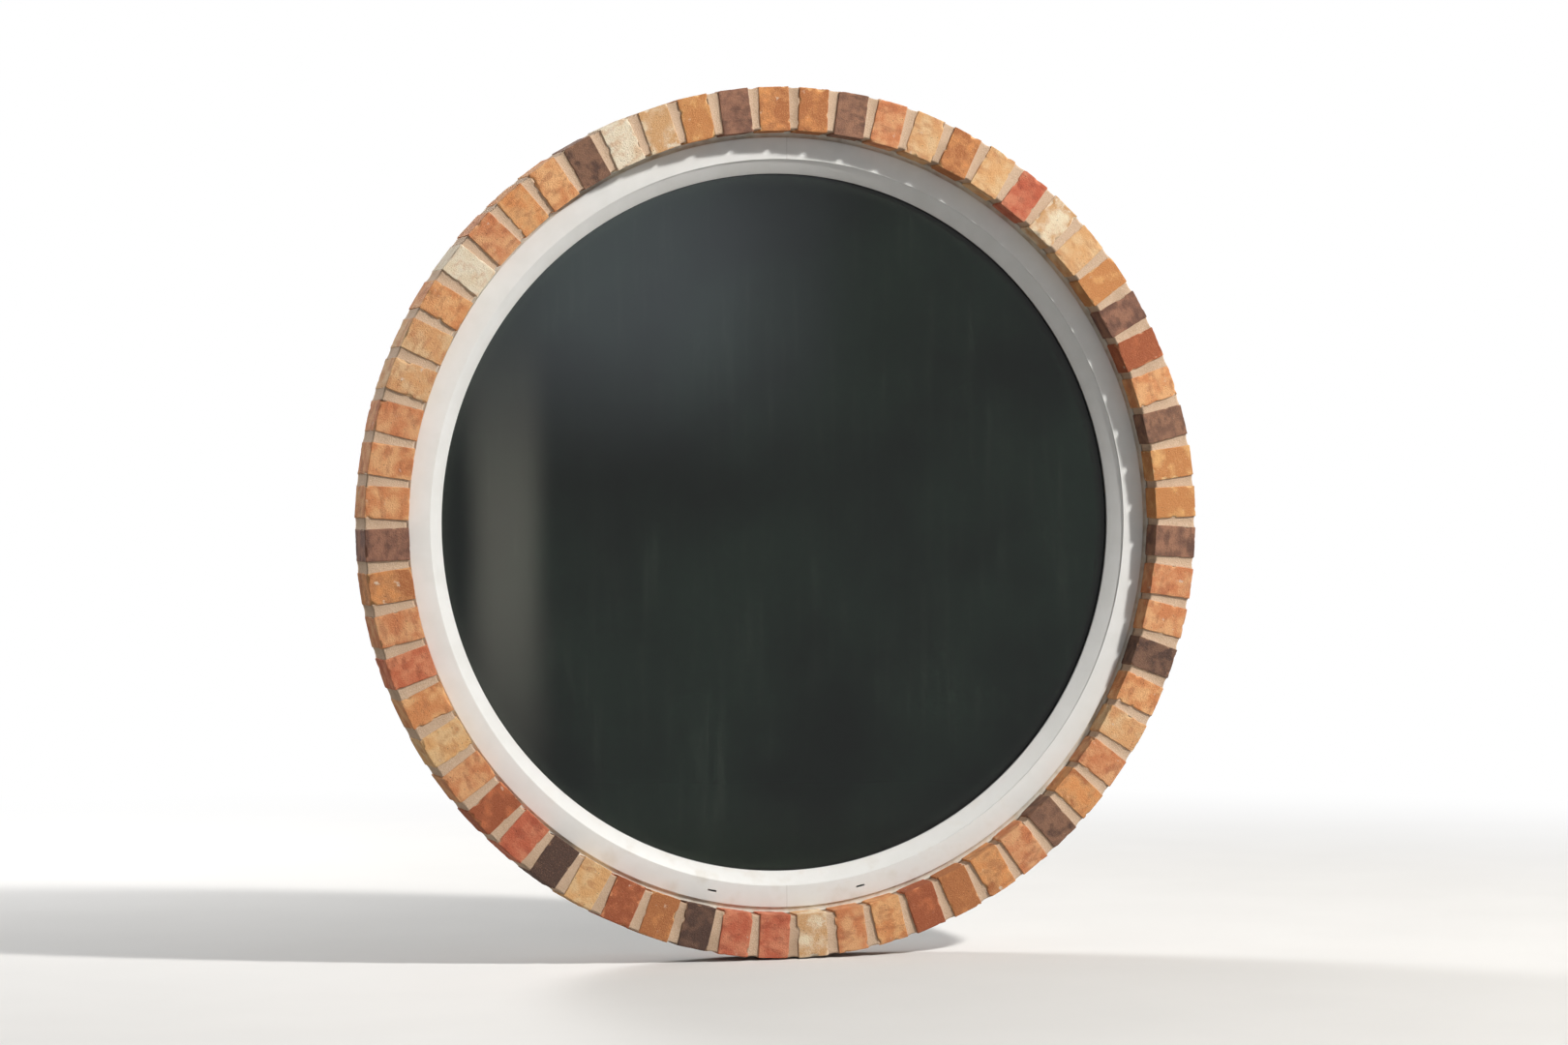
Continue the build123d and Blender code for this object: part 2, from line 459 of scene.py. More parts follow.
ARRIS_LINES = (0.8 * MM, 2.0 * MM, 4.0 * MM)
SQUARES = (3.2 * MM, 6.5 * MM, 3.2 * MM)
brick_lines = [edge_fine_lines(side, square, ARRIS_LINES) for side, square in zip(brick_size, SQUARES)]
brick_steps, brick_squares = block_skin([len(lines) - 1 for lines in brick_lines])
print("one brick has", len(brick_squares), "squares")

# %% [markdown]
# ## Wear on a brick
# A fired brick has no sharp edge. Its arrises are eased by handling, knocked off in places, and its
# faces are a little hollow and lumpy. All of it takes clay away and adds none, so each point of the
# skin is only ever moved inwards: the brick stays inside the size it is laid at. The edges are
# rounded by pulling a point towards a smaller block inside, and the chips are places where that
# rounding is suddenly larger.

# %% Wear one point of a brick
ARRIS_ROUND = 1.8 * MM
ARRIS_VARIES = 0.7
ARRIS_PATCH = 31 * MM
CHIP_DEPTH = 8.0 * MM
CHIP_PATCH = 15 * MM
CHIP_START = 0.14
CHIP_GROWTH = 2.3
CHIP_CURVE = 1.5
LUMP_DEPTH = 1.3 * MM
LUMP_PATCH = 42 * MM
PIT_DEPTH = 0.8 * MM
PIT_PATCH = 6 * MM
PIT_START = 0.1
FRESH_CLAY_DEPTH = 2.0 * MM
RUBBED_WIDTH = 5 * MM
RUBBED_WEAR = 0.2


def worn(point, half, shift):
    """A point of a sharp block moved in to the worn skin, and how much it is worn from 0 to 1."""
    chip = max(0.0, noise.noise((point + shift) / CHIP_PATCH) - CHIP_START) * CHIP_GROWTH
    rounding = ARRIS_ROUND * (1.0 + ARRIS_VARIES * noise.noise((point + shift) / ARRIS_PATCH))
    rounding += CHIP_DEPTH * min(1.0, chip) ** CHIP_CURVE
    core = Vector([max(-side + rounding, min(side - rounding, value)) for value, side in zip(point, half)])
    outward = point - core
    distance = outward.length
    outward.normalize()
    lumps = 0.5 + 0.5 * noise.noise((point + shift) / LUMP_PATCH)
    pits = max(0.0, noise.noise((point + shift) / PIT_PATCH) - PIT_START)
    skin = core + outward * rounding
    skin -= outward * (LUMP_DEPTH * lumps + PIT_DEPTH * pits)
    from_arris = sorted(side - abs(value) for value, side in zip(point, half))[1]
    rubbed = max(0.0, 1 - from_arris / RUBBED_WIDTH) * (RUBBED_WEAR + chip)
    return skin, min(1.0, (distance - rounding) / FRESH_CLAY_DEPTH + rubbed)


half_brick = brick_size / 2
test_point, test_wear = worn(half_brick.copy(), half_brick, Vector((1, 2, 3)))
print("a corner moves in", round((half_brick - test_point).length / MM, 2), "mm, wear", round(test_wear, 2))

# %% [markdown]
# ## Fired clay
# The bricks in the photograph are a mixed batch: orange, sandy, red, some burnt almost black and a
# few splashed with lime. The dark brown batch also fills places at the top of the ring that lay in
# shade, so part of its darkness there is painted shade. One colour never covers a whole brick. Clay
# bodies are cloudy, the kiln flashes some sides darker, grains of sand and iron show as specks,
# fresh clay shows where an edge is knocked off, and a film of mortar stays on the face. Each of
# those is one layer in the finish, from the inside out. The pattern is fixed to each brick by three
# values that its mesh carries: the spot on the brick, the brick's own tone, and its wear.

# %% Make the brick finishes
CLAY_CLOUDS = 30 * MM
DRAG_MARKS = 34 * MM
COARSE_GRAIN = 3.5 * MM
FINE_GRAIN = 1.6 * MM
IRON_CELLS = 6 * MM
IRON_SPECK = paint(70, 50, 44)
LIME_SPLASHES = 17 * MM
LIME_FILM = paint(232, 218, 198)
CLAY_RELIEF = 1.1 * MM


def mesh_value(tree, name, output="Fac"):
    """A value that the mesh carries at each of its points."""
    return add_node(tree, "Attribute", attribute_name=name).outputs[output]


def fired_clay(batch, body, burnt, pale, flash, lime):
    """Cloudy clay with kiln flashing, sand, iron specks, fresh edges and a film of lime."""
    material, tree = new_finish("clay_of_" + batch, Specular_IOR_Level=0.25)
    spot = mesh_value(tree, "spot", "Vector")
    tone = mesh_value(tree, "tone")
    wear = mesh_value(tree, "wear")
    clouds = mottle(tree, spot, CLAY_CLOUDS, detail=5.0)
    grain = mottle(tree, spot, COARSE_GRAIN, detail=4.0)
    fine = mottle(tree, spot, FINE_GRAIN, detail=3.0)
    drag = mottle(tree, spot, DRAG_MARKS, detail=4.0, stretch=(1.0, 1.0, 2.2))
    colour = blended(tree, soft_step(tree, clouds, 0.36, 0.64), body, pale)
    colour = blended(tree, soft_step(tree, drag, 0.5, 0.66, 0.0, 0.5), colour, burnt)
    scorch = both(tree, clouds, tone, "ADD")
    colour = blended(tree, soft_step(tree, scorch, 1.25 - flash, 1.55 - flash), colour, burnt)
    colour = blended(tree, soft_step(tree, fine, 0.54, 0.7, 0.0, 0.4), colour, pale)
    colour = blended(tree, soft_step(tree, fine, 0.44, 0.3, 0.0, 0.4), colour, burnt)
    grains = add_node(tree, "TexVoronoi", {"Vector": spot, "Scale": 1 / IRON_CELLS})
    cells = grains.outputs["Distance"]
    chosen = add_node(tree, "SeparateColor", {0: grains.outputs["Color"]}).outputs[0]
    iron = both(tree, soft_step(tree, cells, 0.2, 0.1), soft_step(tree, chosen, 0.8, 0.86))
    colour = blended(tree, both(tree, iron, 0.75), colour, IRON_SPECK)
    rough_wear = both(tree, wear, soft_step(tree, grain, 0.3, 0.6, 0.5, 1.0))
    colour = blended(tree, soft_step(tree, rough_wear, 0.25, 0.7, 0.0, 0.6), colour, pale)
    splash = mottle(tree, spot, LIME_SPLASHES, detail=6.0)
    film = soft_step(tree, splash, 0.74 - lime, 0.84 - lime, 0.0, 0.75)
    colour = blended(tree, film, colour, LIME_FILM)
    value = soft_step(tree, tone, 0.0, 1.0, 0.9, 1.08)
    hue = soft_step(tree, tone, 0.0, 1.0, 0.492, 0.507)
    shaded = add_node(tree, "HueSaturation", {"Color": colour, "Value": value, "Hue": hue})
    roughness = soft_step(tree, grain, 0.3, 0.7, 0.78, 0.95)
    bumps = relief(tree, both(tree, grain, fine, "ADD"), CLAY_RELIEF)
    return dressed(material, shaded.outputs["Color"], roughness, bumps)


CLAYS = {
    "bricks_orange": (paint(222, 148, 96), paint(178, 108, 72), paint(240, 186, 132), 0.15, 0.08),
    "bricks_tan": (paint(232, 178, 122), paint(198, 128, 82), paint(238, 202, 152), 0.15, 0.08),
    "bricks_red": (paint(208, 117, 82), paint(162, 86, 62), paint(228, 154, 114), 0.2, 0.07),
    # the brown batch is partly painted shade: its dark clay also fills top places that lay in shade
    "bricks_brown": (paint(128, 96, 80), paint(86, 66, 60), paint(172, 128, 102), 0.25, 0.03),
    "bricks_cream": (paint(234, 216, 188), paint(208, 156, 112), paint(240, 228, 206), 0.05, 0.14),
}
clay_finishes = {batch: fired_clay(batch, *look) for batch, look in CLAYS.items()}
print("clays:", ", ".join(sorted(clay_finishes)))

# %% [markdown]
# ## Laying the worn bricks
# Each batch becomes one mesh, as it is one node in the construction, but every brick in it is worn
# by its own stretch of noise. Blender could instance one brick many times. Then the same chip would
# show on each of them, and in a ring the eye finds such repeats at once. Fired bricks also differ by
# a millimetre or two and never lie quite true, so each is a little smaller than its place and leans
# a trace. The random numbers are seeded, so the same ring is laid at each run.

# %% Lay the bricks
SEED = 20
SHIFT_REACH = 40.0
LEAN = 0.009
SIZE_LOSS = ((0.4 * MM, 1.8 * MM), (0.0, 1.6 * MM), (0.7 * MM, 2.4 * MM))


def store(mesh, name, kind, values):
    """Gives a mesh a named value at each of its points."""
    field = "vector" if kind == "FLOAT_VECTOR" else "value"
    mesh.attributes.new(name, kind, "POINT").data.foreach_set(field, values)


def piece_from(name, points, faces, finish):
    """A smooth-shaded mesh object that rides with the window."""
    mesh = bpy.data.meshes.new(name)
    mesh.from_pydata(points, [], faces)
    mesh.polygons.foreach_set("use_smooth", [True] * len(mesh.polygons))
    mesh.materials.append(finish)
    piece = bpy.data.objects.new(name, mesh)
    bpy.context.scene.collection.objects.link(piece)
    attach(piece, "root")
    return piece


def random_shift(dice):
    """A far away place in the noise, so that no two solids share a pattern."""
    return Vector([dice.uniform(-SHIFT_REACH, SHIFT_REACH) for axis in range(3)])


def lay_batch(batch):
    """The worn bricks of one batch in one mesh, in place of the sharp ones."""
    dice = random.Random(f"{SEED} {batch}")
    middle = (brick_low + brick_high) / 2
    points, faces, spots, tones, wears = [], [], [], [], []
    for place in batch_places[batch]:
        shift = random_shift(dice)
        tone = dice.random()
        first = len(points)
        smaller = Vector([dice.uniform(*loss) for loss in SIZE_LOSS])
        half = half_brick - smaller / 2
        set_back = Vector((dice.uniform(-0.5, 0.5) * smaller.x, smaller.y / 2, -smaller.z / 2))
        lean = dice.uniform(-LEAN, LEAN)
        for step in brick_steps:
            sharp = Vector([lines[n] for lines, n in zip(brick_lines, step)])
            fitted = Vector([value * side / full for value, side, full in zip(sharp, half, half_brick)])
            skin, wear = worn(fitted, half, shift)
            skin = Vector((skin.x + lean * skin.z, skin.y, skin.z - lean * skin.x)) + set_back
            points.append(clock_point(*(skin + middle), (place + 0.5) * brick_step))
            spots.extend(sharp + shift)
            tones.append(tone)
            wears.append(wear)
        faces += [[first + n for n in square] for square in brick_squares]
    piece = piece_from("worn_" + batch, points, faces, clay_finishes[batch])
    store(piece.data, "spot", "FLOAT_VECTOR", spots)
    store(piece.data, "tone", "FLOAT", tones)
    store(piece.data, "wear", "FLOAT", wears)
    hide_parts(batch)
    return piece


for batch in BATCHES:
    laid = lay_batch(batch)
    print(laid.name, 2 * len(laid.data.polygons), "triangles")

# %% [markdown]
# ## Mortar
# The joints between the bricks are wedges, because the bricks are not cut to the curve. Each joint
# is struck with a bar, which leaves its face a little hollow and set back from the bricks.
# The mortar is sand and lime, so it looks grainy, pale and slightly pink beside the clay. The wedge
# is made from the same block skin, squeezed towards the window, and it reaches a little way into
# the bricks so that no gap opens beside a chipped edge.

# %% Strike the joints
STRUCK_HOLLOW = 1.6 * MM
SAND_RELIEF = 0.5 * MM
SAND_PATCH = 4 * MM
KEY_INTO_BRICK = 3.5 * MM
MORTAR_STEPS = (8, 10, 26)


def lime_mortar():
    """Pale sandy mortar with dark and light grains."""
    material, tree = new_finish("lime_mortar", Specular_IOR_Level=0.2)
    spot = mesh_value(tree, "spot", "Vector")
    clouds = mottle(tree, spot, 40 * MM, detail=5.0)
    grain = mottle(tree, spot, 2.2 * MM, detail=3.0)
    colour = blended(tree, clouds, paint(200, 168, 140), paint(226, 198, 170))
    colour = blended(tree, soft_step(tree, grain, 0.55, 0.7, 0.0, 0.35), colour, paint(244, 230, 212))
    colour = blended(tree, soft_step(tree, grain, 0.42, 0.3, 0.0, 0.35), colour, paint(156, 122, 98))
    damp = soft_step(tree, mottle(tree, spot, 120 * MM), 0.55, 0.75, 0.0, 0.35)
    colour = blended(tree, damp, colour, paint(150, 122, 98))
    roughness = soft_step(tree, grain, 0.3, 0.7, 0.85, 0.98)
    return dressed(material, colour, roughness, relief(tree, grain, 1.2 * MM))


def struck_point(share, shift):
    """A point of a wedge above the axis, from its shares of depth, height and width."""
    across, deep, high = share
    half_width = joint_inner_half + (joint_outer_half - joint_inner_half) * high + KEY_INTO_BRICK
    middle_of_joint = 1 - (2 * across - 1) ** 2
    hollow = STRUCK_HOLLOW * middle_of_joint
    depth = joint_front + hollow + (joint_back - joint_front - hollow) * deep
    height = joint_inner + hollow + (joint_outer - joint_inner - 2 * hollow) * high
    point = Vector(((2 * across - 1) * half_width, depth, height))
    rough = Vector([noise.noise((point + shift * (axis + 2)) / SAND_PATCH) for axis in range(3)])
    return point + rough * SAND_RELIEF


joint_corners = turned_to_top("mortar_joints", 0)
joint_front = min(point.y for point in joint_corners)
joint_back = max(point.y for point in joint_corners)
joint_inner = min(point.z for point in joint_corners)
joint_outer = max(point.z for point in joint_corners)
joint_inner_half = max(point.x for point in joint_corners if point.z < (joint_inner + joint_outer) / 2)
joint_outer_half = max(point.x for point in joint_corners)
mortar_steps, mortar_squares = block_skin(MORTAR_STEPS)


def strike_joints():
    """All the mortar wedges in one mesh, in place of the sharp ones."""
    dice = random.Random(SEED)
    points, faces, spots = [], [], []
    for place in range(brick_count):
        shift = random_shift(dice)
        first = len(points)
        for step in mortar_steps:
            share = [n / count for n, count in zip(step, MORTAR_STEPS)]
            point = struck_point(share, shift)
            points.append(clock_point(*point, place * brick_step))
            spots.extend(point + shift)
        faces += [[first + n for n in square] for square in mortar_squares]
    piece = piece_from("struck_mortar_joints", points, faces, lime_mortar())
    store(piece.data, "spot", "FLOAT_VECTOR", spots)
    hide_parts("mortar_joints")
    return piece


mortar = strike_joints()
print("mortar", 2 * len(mortar.data.polygons), "triangles")

# %% [markdown]
# ## Turned mouldings
# The frame, bead, gasket and sealant are each one outline swept round the axis. Blender's Screw
# modifier would do that, but the point order would be its own. Making the ring in a loop is as
# short, and gives control of two things that matter for plastic: enough segments that a highlight
# runs round without steps, and eased corners. A real extrusion has no sharp corner, and the thin
# bright line along an eased edge is what makes it look like a real thing.

# %% Turn a ring from an outline
RING_SEGMENTS = 384
CURVE_POINTS = 5
SHARP_ANGLE = math.radians(40)


def band_outline(inner, outer, front, back):
    """The section of a plain band, from front inside round."""
    return [(inner, front), (outer, front), (outer, back), (inner, back)]


def eased(outline, size):
    """The outline with each corner replaced by a small curve that starts that far from it."""
    smooth = []
    for n, corner in enumerate(outline):
        here = Vector(corner)
        arms = [Vector(outline[n - 1]) - here, Vector(outline[(n + 1) % len(outline)]) - here]
        start, end = [here + arm.normalized() * min(size, arm.length / 2) for arm in arms]
        for step in range(CURVE_POINTS):
            share = step / (CURVE_POINTS - 1)
            first = start.lerp(here, share)
            second = here.lerp(end, share)
            smooth.append(tuple(first.lerp(second, share)))
    return smooth


def turn_outline(outline, inside_out=False):
    """Points and faces of an outline of (radius, depth) points turned about the axis."""
    count = len(outline)
    points = []
    for segment in range(RING_SEGMENTS):
        clock = 360 * segment / RING_SEGMENTS
        points += [clock_point(0, depth, radius, clock) for radius, depth in outline]
    faces = []
    for segment, n in itertools.product(range(RING_SEGMENTS), range(count)):
        here = segment * count
        there = (segment + 1) % RING_SEGMENTS * count
        after = (n + 1) % count
        loop = [here + n, here + after, there + after, there + n]
        faces.append(loop[::-1] if inside_out else loop)
    return points, faces


def keep_corners_sharp(mesh):
    """Shades the mesh smooth, but not across an edge that turns by more than the sharp angle."""
    shape = bmesh.new()
    shape.from_mesh(mesh)
    for edge in shape.edges:
        edge.smooth = len(edge.link_faces) == 2 and edge.calc_face_angle() < SHARP_ANGLE
    shape.to_mesh(mesh)
    shape.free()


def turned_piece(name, outline, finish, node):
    """A turned ring that stands for a node. The outline runs from front inside to front outside."""
    piece = piece_from(name, *turn_outline(outline), finish)
    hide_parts(node)
    return piece


print("rings have", RING_SEGMENTS, "segments")

# %% [markdown]
# ## White vinyl
# The frame is extruded vinyl. New, it is plain white and satin. Outdoors it picks up a film of
# dust, most of all low down. Drawing it through the die leaves hair lines along its length, which
# here run round the ring, and bending it to a circle takes two lengths, welded at the top and the
# bottom. A flat white would lose all of that. The layers are faint, because the photograph shows a
# clean frame.

# %% Make the vinyl finish
WELD_WIDTH = 0.7 * MM
WELD_COLOUR = paint(150, 146, 138)
DIE_LINES = 1.3 * MM
DUST_COLOUR = paint(196, 186, 168)
CLEAN_ABOVE = -0.35
DUSTY_BELOW = -0.74
UPRIGHT_AXES = (1.0, 0.0, 1.0)


def white_vinyl(name, with_welds):
    material, tree = new_finish(name, IOR=1.5, Specular_IOR_Level=0.45)
    where = place_in_window(tree)
    apart = add_node(tree, "SeparateXYZ", {0: where})
    off_centre = add_node(tree, "Math", {0: apart.outputs["X"]}, operation="ABSOLUTE").outputs[0]
    section = {"X": distance_along(tree, where, UPRIGHT_AXES), "Y": apart.outputs["Y"]}
    lines_at = add_node(tree, "CombineXYZ", section)
    die_lines = mottle(tree, lines_at.outputs[0], DIE_LINES, detail=2.0)
    film = mottle(tree, where, 55 * MM, detail=6.0)
    colour = blended(tree, soft_step(tree, film, 0.3, 0.7), paint(228, 228, 225), paint(234, 234, 232))
    low_down = soft_step(tree, apart.outputs["Z"], CLEAN_ABOVE, DUSTY_BELOW)
    dust = both(tree, low_down, soft_step(tree, film, 0.48, 0.72, 0.0, 0.4))
    colour = blended(tree, dust, colour, DUST_COLOUR)
    chalk = mottle(tree, where, 9 * MM, detail=4.0)
    roughness = soft_step(tree, both(tree, chalk, film), 0.12, 0.42, 0.3, 0.52)
    surface_normal = relief(tree, die_lines, 0.03 * MM)
    if with_welds:
        weld = soft_step(tree, off_centre, WELD_WIDTH / 2, WELD_WIDTH)
        colour = blended(tree, soft_step(tree, weld, 0.0, 1.0, 0.35, 0.0), colour, WELD_COLOUR)
        surface_normal = relief(tree, weld, 0.25 * MM, beneath=surface_normal)
    return dressed(material, colour, roughness, surface_normal)


frame_vinyl = white_vinyl("white_vinyl_frame", with_welds=True)
bead_vinyl = white_vinyl("white_vinyl_bead", with_welds=False)
print("vinyl ready, weld", round(WELD_WIDTH / MM, 1), "mm")

# %% [markdown]
# ## The frame
# The section has a flat front band, a pocket for the glass and an inner stop. It is hollow inside,
# like every vinyl extrusion. Two weep slots low in the front let rain out of that hollow. The wall
# and the slots can't be measured as rings, so their values are typed in as the construction has
# them. The ring and its hollow are turned first, and the slots are then cut with a boolean, because
# a slot with round ends across a turned surface would be fiddly to mesh by hand and easy to cut.

# %% Turn the frame and cut its slots
FRAME_WALL = 2.8 * MM
FRAME_EDGE = 1.2 * MM
WEEP_LENGTH = 18 * MM
WEEP_WIDTH = 3.5 * MM
WEEP_CLOCKS = (168, 192)
SLOT_END_POINTS = 9


def frame_outline(inset):
    """The frame's section, or that of its hollow at the wall's inset, from front inside round."""
    return [
        (pocket_radius + inset, face_front + inset),
        (frame_radius - inset, face_front + inset),
        (frame_radius - inset, frame_back - inset),
        (sight_radius + inset, frame_back - inset),
        (sight_radius + inset, stop_front + inset),
        (pocket_radius + inset, stop_front + inset),
    ]


def slot_cutter(clock):
    """A bar with round ends that passes through the front wall at that clock angle."""
    half_straight = (WEEP_LENGTH - WEEP_WIDTH) / 2
    outline = []
    for side in (1, -1):
        for n in range(SLOT_END_POINTS):
            turn = math.pi * (n / (SLOT_END_POINTS - 1) - 0.5)
            across = side * (half_straight + math.cos(turn) * WEEP_WIDTH / 2)
            outline.append((across, side * math.sin(turn) * WEEP_WIDTH / 2))
    middle = (pocket_radius + frame_radius) / 2
    count = len(outline)
    points = []
    for depth in (face_front - FRAME_WALL, face_front + 2 * FRAME_WALL):
        points += [clock_point(across, depth, middle + up, clock) for across, up in outline]
    faces = [list(range(count)), list(range(2 * count - 1, count - 1, -1))]
    faces += [[n, n + count, (n + 1) % count + count, (n + 1) % count] for n in range(count)]
    return points, faces


def cut_slots(piece):
    """Cuts the weep slots out of the frame and leaves a plain mesh."""
    points, faces = [], []
    for clock in WEEP_CLOCKS:
        more_points, more_faces = slot_cutter(clock)
        faces += [[n + len(points) for n in face] for face in more_faces]
        points += more_points
    mesh = bpy.data.meshes.new("slot_cutters")
    mesh.from_pydata(points, [], faces)
    cutters = bpy.data.objects.new("slot_cutters", mesh)
    bpy.context.scene.collection.objects.link(cutters)
    cut = piece.modifiers.new("slots", "BOOLEAN")
    cut.object = cutters
    cut.solver = "EXACT"
    result = bpy.data.meshes.new_from_object(piece.evaluated_get(bpy.context.evaluated_depsgraph_get()))
    piece.modifiers.remove(cut)
    piece.data = result
    bpy.data.objects.remove(cutters)
    keep_corners_sharp(result)


sight_radius, pocket_radius, bead_front, bead_back = ring_of("glazing_bead")
_, frame_radius, face_front, frame_back = ring_of("window_frame")
stop_front = ring_of("glazing_tape")[3]
outer_points, outer_faces = turn_outline(eased(frame_outline(0), FRAME_EDGE))
inner_points, inner_faces = turn_outline(eased(frame_outline(FRAME_WALL), FRAME_EDGE / 2), inside_out=True)
inner_faces = [[n + len(outer_points) for n in face] for face in inner_faces]
frame_piece = piece_from("vinyl_frame", outer_points + inner_points, outer_faces + inner_faces, frame_vinyl)
cut_slots(frame_piece)
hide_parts("window_frame")
print("frame", len(frame_piece.data.polygons), "faces")

# %% [markdown]
# ## The glazing bead and its gasket
# The bead is the sloping inner band. It snaps in front of the glass and presses a black gasket
# against it, whose lip shows as the thin dark line at the edge of the pane. Both are turned rings.

# %% Turn the bead and the gasket
BEAD_LIP = 3.0 * MM
BEAD_EDGE = 0.9 * MM
GASKET_EDGE = 0.5 * MM


def black_gasket():
    """Weathered black rubber with a faint grey bloom."""
    material, tree = new_finish("black_gasket", Specular_IOR_Level=0.35)
    where = place_in_window(tree)
    bloom = mottle(tree, where, 14 * MM, detail=5.0)
    grain = mottle(tree, where, 1.0 * MM)
    colour = blended(tree, soft_step(tree, bloom, 0.45, 0.75), paint(30, 30, 31), paint(62, 61, 59))
    roughness = soft_step(tree, bloom, 0.3, 0.7, 0.5, 0.75)
    return dressed(material, colour, roughness, relief(tree, grain, 0.05 * MM))


bead_outline = [
    (sight_radius, bead_back - BEAD_LIP),
    (pocket_radius, bead_front),
    (pocket_radius, bead_back),
    (sight_radius, bead_back),
]
bead_section = eased(bead_outline, BEAD_EDGE)
bead_piece = turned_piece("vinyl_bead", bead_section, bead_vinyl, "glazing_bead")
gasket_section = eased(band_outline(*ring_of("bead_gasket")), GASKET_EDGE)
gasket_piece = turned_piece("gasket_lip", gasket_section, black_gasket(), "bead_gasket")
print("bead", len(bead_piece.data.polygons), "gasket", len(gasket_piece.data.polygons), "faces")

# %% [markdown]
# ## The joint round the frame
# Between frame and bricks a bead of sealant is gunned in over a foam rod and smoothed with a wet
# finger. So its face is a shallow hollow, a little uneven along its length, with dust on it. The
# rod behind is round, squeezed between brick and frame, and shows only from the room side before
# the wall is finished. The sealant runs a little into the rough bricks, as it does when it is
# pressed in.

# %% Turn the sealant and the foam rod
SEALANT_HOLLOW = 2.2 * MM
HOLLOW_POINTS = 9
INTO_BRICK = 4.0 * MM
ROD_ROUND = 3.9 * MM


def tooled_sealant():
    """Off-white sealant with tooling ripples and dust."""
    material, tree = new_finish("tooled_sealant", Specular_IOR_Level=0.35)
    where = place_in_window(tree)
    ripples = mottle(tree, where, 40 * MM, detail=3.0)
    dust = mottle(tree, where, 26 * MM, detail=5.0)
    colour = blended(tree, soft_step(tree, dust, 0.4, 0.75), paint(214, 209, 198), paint(188, 177, 160))
    roughness = soft_step(tree, dust, 0.3, 0.7, 0.5, 0.8)
    return dressed(material, colour, roughness, relief(tree, ripples, 0.8 * MM))


def foam_rod():
    """Grey closed-cell foam."""
    material, tree = new_finish("grey_foam_rod", Specular_IOR_Level=0.2)
    where = place_in_window(tree)
    cells = add_node(tree, "TexVoronoi", {"Vector": where, "Scale": 1 / (1.6 * MM)}).outputs["Distance"]
    colour = blended(tree, cells, paint(128, 130, 134), paint(176, 178, 181))
    roughness = soft_step(tree, cells, 0.0, 1.0, 0.7, 0.9)
    return dressed(material, colour, roughness, relief(tree, cells, 0.4 * MM))


_, brick_line, sealant_front, sealant_back = ring_of("perimeter_sealant")
sealant_outer = brick_line + INTO_BRICK
sealant_outline = []
for n in range(HOLLOW_POINTS):
    share = n / (HOLLOW_POINTS - 1)
    hollow = SEALANT_HOLLOW * math.sin(math.pi * share)
    sealant_outline.append((frame_radius + (sealant_outer - frame_radius) * share, sealant_front + hollow))
sealant_outline += [(sealant_outer, sealant_back), (frame_radius, sealant_back)]
turned_piece("tooled_sealant_joint", sealant_outline, tooled_sealant(), "perimeter_sealant")
_, _, rod_front, rod_back = ring_of("backer_rod")
rod_section = eased(band_outline(frame_radius, brick_line, rod_front, rod_back), ROD_ROUND)
turned_piece("squeezed_foam_rod", rod_section, foam_rod(), "backer_rod")
print("sealant", round((sealant_outer - frame_radius) / MM, 1), "mm wide")

# %% [markdown]
# ## Glass
# In the photograph the glass is almost black with a green cast. Part of that is the dark behind it.
# A window that stands free has none, so the outer pane is given a deep tint that keeps it dark from
# any side, while it stays real glass: smooth, with a mirror-like skin. Its index is set to 1.33,
# below the 1.52 of real glass, because here it mirrors white all round, which would turn the dark
# tint grey. Float glass is never quite flat, so a very shallow wave bends its reflections, and a
# trace of dust dulls them here and there. The inner pane is clear.

# %% Make the panes
RIM_DUST = 28 * MM
TINTED_INDEX = 1.33
CLEAR_INDEX = 1.5


def tinted_glass():
    """Very dark grey-green glass with a slight wave, and dust where rain has run and at its rim."""
    material, tree = new_finish("dark_tinted_glass", IOR=TINTED_INDEX, Transmission_Weight=1.0)
    where = place_in_window(tree)
    clouds = soft_step(tree, mottle(tree, where, 420 * MM, detail=3.0), 0.35, 0.65)
    colour = blended(tree, clouds, paint(6, 13, 9), paint(20, 31, 24))
    runs = mottle(tree, where, 16 * MM, detail=5.0, stretch=(1.0, 1.0, 0.08))
    specks = mottle(tree, where, 3 * MM, detail=3.0)
    traces = both(tree, soft_step(tree, runs, 0.5, 0.75), soft_step(tree, specks, 0.4, 0.65, 0.3, 1.0))
    from_axis = distance_along(tree, where, UPRIGHT_AXES)
    rim = soft_step(tree, from_axis, sight_radius - RIM_DUST, sight_radius)
    dusty = both(tree, both(tree, traces, clouds), both(tree, rim, specks), "MAXIMUM")
    colour = blended(tree, both(tree, dusty, 0.55), colour, paint(62, 66, 58))
    roughness = soft_step(tree, dusty, 0.0, 1.0, 0.0, 0.12)
    wave = mottle(tree, where, 260 * MM, detail=1.0, stretch=(1.0, 1.0, 0.5))
    return dressed(material, colour, roughness, relief(tree, wave, 1.2 * MM))


def clear_glass():
    """Clear glass with a faint green cast and a thin film of dust."""
    material, tree = new_finish("clear_glass", IOR=CLEAR_INDEX, Transmission_Weight=1.0)
    where = place_in_window(tree)
    dust = soft_step(tree, mottle(tree, where, 60 * MM, detail=7.0), 0.5, 0.8)
    colour = blended(tree, dust, paint(238, 246, 242), paint(226, 232, 228))
    roughness = soft_step(tree, dust, 0.0, 1.0, 0.0, 0.03)
    wave = mottle(tree, where, 240 * MM, detail=1.0, stretch=(1.0, 1.0, 0.5))
    return dressed(material, colour, roughness, relief(tree, wave, 1.0 * MM))


def finish_node(node, finish):
    """Gives a construction node that already has the right shape its finish."""
    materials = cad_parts[node].data.materials
    materials.clear()
    materials.append(finish)


finish_node("outer_pane", tinted_glass())
finish_node("inner_pane", clear_glass())
print("pane radius", round(ring_of("outer_pane")[1] / MM, 1), "mm")

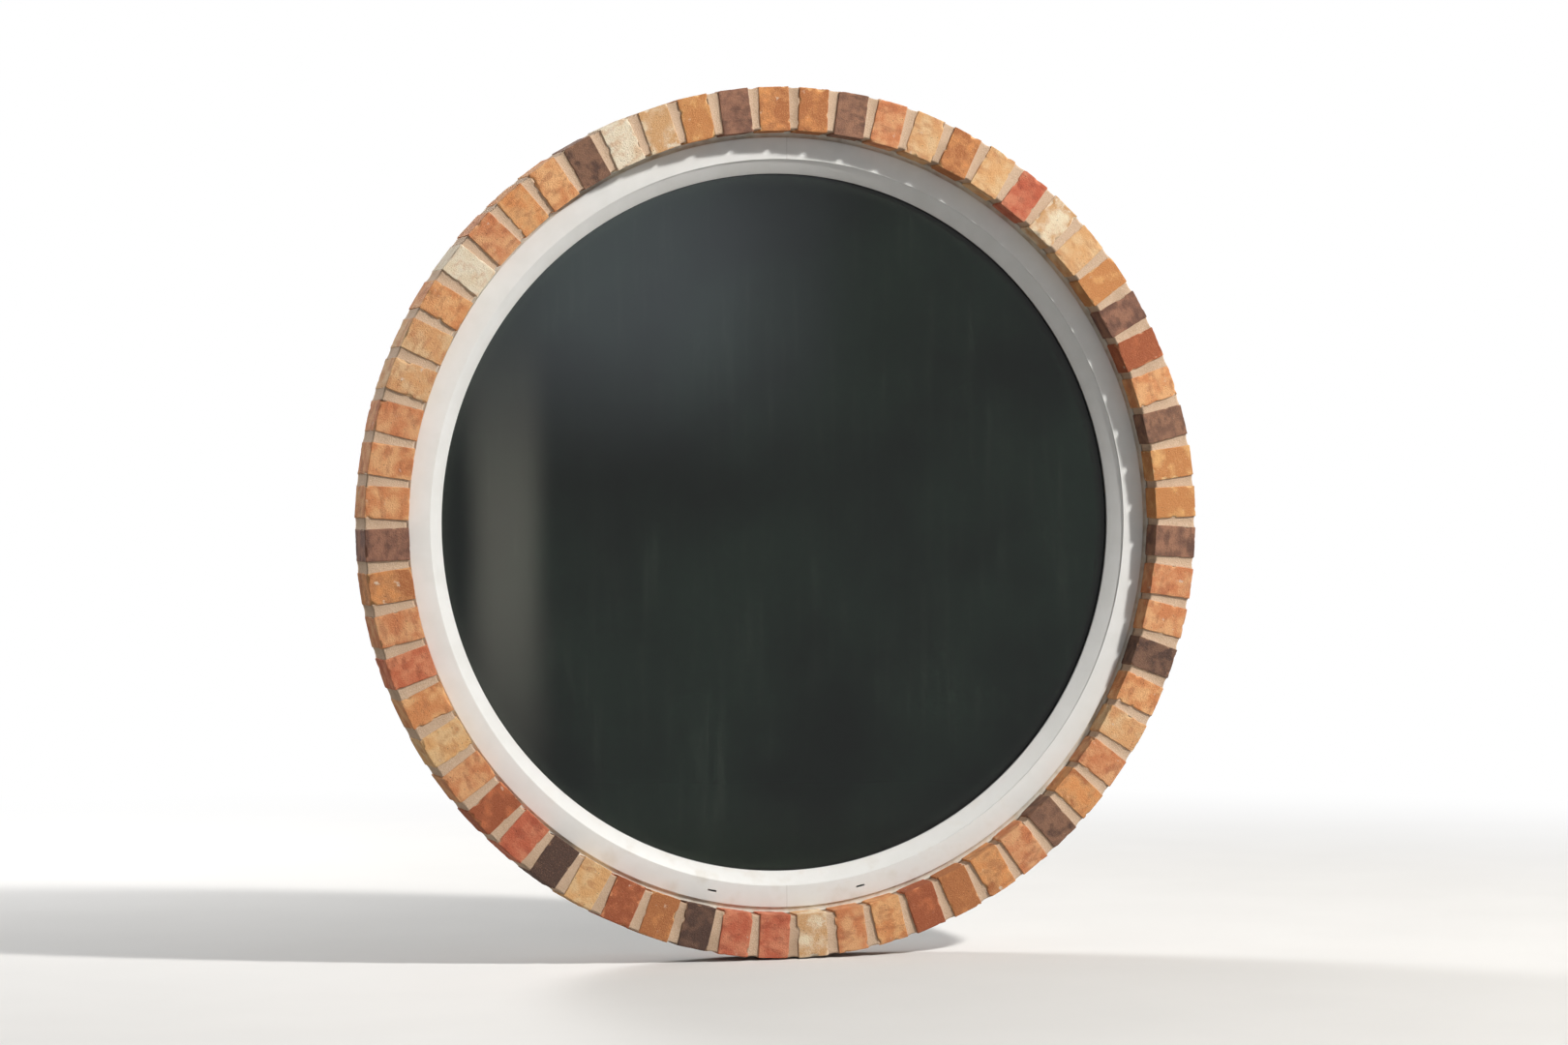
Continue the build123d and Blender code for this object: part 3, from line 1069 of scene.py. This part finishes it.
# %% [markdown]
# ## What holds the glass unit and the frame
# Behind the bead lie the foam spacer between the panes, the black seal round their edge, a tape
# against the inner stop and rubber blocks under and beside the unit. On the wall side, galvanised
# straps are screwed to the sheathing before the bricks go up. These keep their construction shapes,
# which are right already, and each gets its own finish: spangled zinc, dull butyl, foam, rubber.

# %% Finish the hidden pieces
def galvanised_steel():
    """Zinc with spangles: crystals that each catch the light at their own brightness."""
    material, tree = new_finish("galvanised_strap", Metallic=0.9)
    where = place_in_window(tree)
    spangle = add_node(tree, "TexVoronoi", {"Vector": where, "Scale": 1 / (6 * MM)})
    bright = add_node(tree, "SeparateColor", {0: spangle.outputs["Color"]}).outputs[0]
    stain = mottle(tree, where, 18 * MM, detail=5.0)
    colour = blended(tree, bright, paint(168, 172, 176), paint(206, 209, 212))
    colour = blended(tree, soft_step(tree, stain, 0.55, 0.75, 0.0, 0.6), colour, paint(142, 140, 136))
    roughness = soft_step(tree, bright, 0.0, 1.0, 0.28, 0.5)
    return dressed(material, colour, roughness, relief(tree, stain, 0.1 * MM))


def dull_rubber(name, dark, dusty, grain_size, depth):
    """A dull black or grey soft material with a fine grain and some dust."""
    material, tree = new_finish(name, Specular_IOR_Level=0.3)
    where = place_in_window(tree)
    grain = mottle(tree, where, grain_size, detail=4.0)
    dust = mottle(tree, where, 16 * MM, detail=5.0)
    colour = blended(tree, soft_step(tree, dust, 0.45, 0.75), dark, dusty)
    roughness = soft_step(tree, grain, 0.3, 0.7, 0.65, 0.9)
    return dressed(material, colour, roughness, relief(tree, grain, depth))


butyl = dull_rubber("black_butyl", paint(24, 24, 25), paint(48, 47, 46), 2.5 * MM, 0.2 * MM)
block_rubber = dull_rubber("block_rubber", paint(32, 32, 33), paint(66, 64, 62), 1.2 * MM, 0.1 * MM)
spacer_foam = dull_rubber("spacer_foam", paint(92, 93, 95), paint(118, 118, 119), 0.8 * MM, 0.2 * MM)
finish_node("fixing_straps", galvanised_steel())
finish_node("edge_seal", butyl)
finish_node("glazing_tape", butyl)
finish_node("spacer", spacer_foam)
finish_node("setting_blocks", block_rubber)
finish_node("location_blocks", block_rubber)
print("hidden pieces finished")
